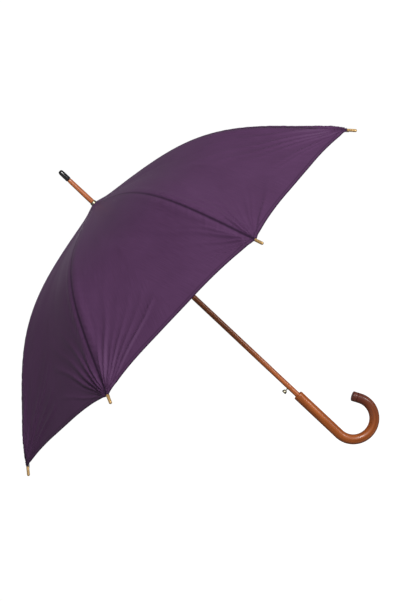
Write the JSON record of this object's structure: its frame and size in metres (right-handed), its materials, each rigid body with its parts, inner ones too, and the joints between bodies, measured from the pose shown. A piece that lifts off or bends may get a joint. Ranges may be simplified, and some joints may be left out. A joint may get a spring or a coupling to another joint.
{
  "type": "stick umbrella",
  "caption": "Open stick umbrella with a ribbed cloth canopy, stretchers and a sliding runner, a straight shaft, a ferrule, a push button and a crook handle.",
  "frame": {"origin": "on the shaft axis at the middle of the straight hand grip", "axes": "+Z along the shaft towards the ferrule, +X the side the crook bends to"},
  "size_m": [1.0016, 1.0016, 0.8878],
  "materials": {
    "cloth": "fine sheeny purple polyester",
    "steel": "satin plated steel",
    "brass": "satin champagne brass",
    "wood": "lacquered orange-brown wood",
    "dark_wood": "dark lacquered wood",
    "black": "gloss black",
    "rubber": "black rubber"
  },
  "bodies": {
    "root": {"shaft": "wood", "ferrule": "wood", "ferrule_cap": "black", "ferrule_collar": "steel", "crown": "black", "crown_ring_wire": "steel", "opening_spring": "steel", "spring_pin": "steel", "stop_ring": "steel", "stop_buffer": "rubber", "button_spring": "steel", "handle": "wood", "handle_end_cap": "dark_wood"},
    "rib_1": {"canopy_sector_1": "cloth", "rib_1": "steel", "rib_tip_1": "brass"},
    "rib_2": {"canopy_sector_2": "cloth", "rib_2": "steel", "rib_tip_2": "brass"},
    "rib_3": {"canopy_sector_3": "cloth", "rib_3": "steel", "rib_tip_3": "brass"},
    "rib_4": {"canopy_sector_4": "cloth", "rib_4": "steel", "rib_tip_4": "brass"},
    "rib_5": {"canopy_sector_5": "cloth", "rib_5": "steel", "rib_tip_5": "brass"},
    "rib_6": {"canopy_sector_6": "cloth", "rib_6": "steel", "rib_tip_6": "brass"},
    "rib_7": {"canopy_sector_7": "cloth", "rib_7": "steel", "rib_tip_7": "brass"},
    "rib_8": {"canopy_sector_8": "cloth", "rib_8": "steel", "rib_tip_8": "brass"},
    "stretcher_1": {"stretcher_1": "steel"},
    "stretcher_2": {"stretcher_2": "steel"},
    "stretcher_3": {"stretcher_3": "steel"},
    "stretcher_4": {"stretcher_4": "steel"},
    "stretcher_5": {"stretcher_5": "steel"},
    "stretcher_6": {"stretcher_6": "steel"},
    "stretcher_7": {"stretcher_7": "steel"},
    "stretcher_8": {"stretcher_8": "steel"},
    "runner": {"runner": "black", "runner_ring_wire": "steel", "runner_slider": "steel"},
    "button": {"push_button": "brass"}
  },
  "joints": [
    {"name": "rib_1_fold", "type": "hinge", "parent": "root", "child": "rib_1", "pos_m": [0.0098, 0.00284, 0.6565], "axis": [-0.2782, 0.9605, 0], "range_deg": [0, 59.5], "stiffness_Nm_per_rad": 3.5, "springref_deg": -57.3, "deforming": ["canopy_sector_1", "opening_spring"]},
    {"name": "rib_2_fold", "type": "hinge", "parent": "root", "child": "rib_2", "pos_m": [0.00492, 0.00893, 0.6565], "axis": [-0.8759, 0.4825, 0], "range_deg": [0, 59.5], "deforming": ["canopy_sector_2"]},
    {"name": "rib_3_fold", "type": "hinge", "parent": "root", "child": "rib_3", "pos_m": [-0.00284, 0.0098, 0.6565], "axis": [-0.9605, -0.2782, 0], "range_deg": [0, 59.5], "deforming": ["canopy_sector_3"]},
    {"name": "rib_4_fold", "type": "hinge", "parent": "root", "child": "rib_4", "pos_m": [-0.00893, 0.00492, 0.6565], "axis": [-0.4825, -0.8759, 0], "range_deg": [0, 59.5], "deforming": ["canopy_sector_4"]},
    {"name": "rib_5_fold", "type": "hinge", "parent": "root", "child": "rib_5", "pos_m": [-0.0098, -0.00284, 0.6565], "axis": [0.2782, -0.9605, 0], "range_deg": [0, 59.5], "deforming": ["canopy_sector_5"]},
    {"name": "rib_6_fold", "type": "hinge", "parent": "root", "child": "rib_6", "pos_m": [-0.00492, -0.00893, 0.6565], "axis": [0.8759, -0.4825, 0], "range_deg": [0, 59.5], "deforming": ["canopy_sector_6"]},
    {"name": "rib_7_fold", "type": "hinge", "parent": "root", "child": "rib_7", "pos_m": [0.00284, -0.0098, 0.6565], "axis": [0.9605, 0.2782, 0], "range_deg": [0, 59.5], "deforming": ["canopy_sector_7"]},
    {"name": "rib_8_fold", "type": "hinge", "parent": "root", "child": "rib_8", "pos_m": [0.00893, -0.00492, 0.6565], "axis": [0.4825, 0.8759, 0], "range_deg": [0, 59.5], "deforming": ["canopy_sector_8"]},
    {"name": "stretcher_1_fold", "type": "hinge", "parent": "rib_1", "child": "stretcher_1", "pos_m": [0.25076, 0.07262, 0.60159], "axis": [-0.2782, 0.9605, 0], "range_deg": [-119, 0]},
    {"name": "stretcher_2_fold", "type": "hinge", "parent": "rib_2", "child": "stretcher_2", "pos_m": [0.12597, 0.22866, 0.60159], "axis": [-0.8759, 0.4825, 0], "range_deg": [-119, 0]},
    {"name": "stretcher_3_fold", "type": "hinge", "parent": "rib_3", "child": "stretcher_3", "pos_m": [-0.07262, 0.25076, 0.60159], "axis": [-0.9605, -0.2782, 0], "range_deg": [-119, 0]},
    {"name": "stretcher_4_fold", "type": "hinge", "parent": "rib_4", "child": "stretcher_4", "pos_m": [-0.22866, 0.12597, 0.60159], "axis": [-0.4825, -0.8759, 0], "range_deg": [-119, 0]},
    {"name": "stretcher_5_fold", "type": "hinge", "parent": "rib_5", "child": "stretcher_5", "pos_m": [-0.25076, -0.07262, 0.60159], "axis": [0.2782, -0.9605, 0], "range_deg": [-119, 0]},
    {"name": "stretcher_6_fold", "type": "hinge", "parent": "rib_6", "child": "stretcher_6", "pos_m": [-0.12597, -0.22866, 0.60159], "axis": [0.8759, -0.4825, 0], "range_deg": [-119, 0]},
    {"name": "stretcher_7_fold", "type": "hinge", "parent": "rib_7", "child": "stretcher_7", "pos_m": [0.07262, -0.25076, 0.60159], "axis": [0.9605, 0.2782, 0], "range_deg": [-119, 0]},
    {"name": "stretcher_8_fold", "type": "hinge", "parent": "rib_8", "child": "stretcher_8", "pos_m": [0.22866, -0.12597, 0.60159], "axis": [0.4825, 0.8759, 0], "range_deg": [-119, 0]},
    {"name": "runner_pivot", "type": "hinge", "parent": "stretcher_1", "child": "runner", "pos_m": [0.0098, 0.00284, 0.54668], "axis": [-0.2782, 0.9605, 0], "range_deg": [0, 59.5]},
    {"name": "button_press", "type": "slide", "parent": "root", "child": "button", "axis": [1, 0, 0], "range_m": [0, 0.003], "stiffness_N_per_m": 400, "springref_m": -0.002, "deforming": ["button_spring"]}
  ],
  "couplings": [
    {"joint": "rib_2_fold", "follows": "rib_1_fold", "ratio": 1},
    {"joint": "rib_3_fold", "follows": "rib_1_fold", "ratio": 1},
    {"joint": "rib_4_fold", "follows": "rib_1_fold", "ratio": 1},
    {"joint": "rib_5_fold", "follows": "rib_1_fold", "ratio": 1},
    {"joint": "rib_6_fold", "follows": "rib_1_fold", "ratio": 1},
    {"joint": "rib_7_fold", "follows": "rib_1_fold", "ratio": 1},
    {"joint": "rib_8_fold", "follows": "rib_1_fold", "ratio": 1},
    {"joint": "stretcher_1_fold", "follows": "rib_1_fold", "ratio": -2},
    {"joint": "stretcher_2_fold", "follows": "rib_1_fold", "ratio": -2},
    {"joint": "stretcher_3_fold", "follows": "rib_1_fold", "ratio": -2},
    {"joint": "stretcher_4_fold", "follows": "rib_1_fold", "ratio": -2},
    {"joint": "stretcher_5_fold", "follows": "rib_1_fold", "ratio": -2},
    {"joint": "stretcher_6_fold", "follows": "rib_1_fold", "ratio": -2},
    {"joint": "stretcher_7_fold", "follows": "rib_1_fold", "ratio": -2},
    {"joint": "stretcher_8_fold", "follows": "rib_1_fold", "ratio": -2},
    {"joint": "runner_pivot", "follows": "rib_1_fold", "ratio": 1}
  ]
}
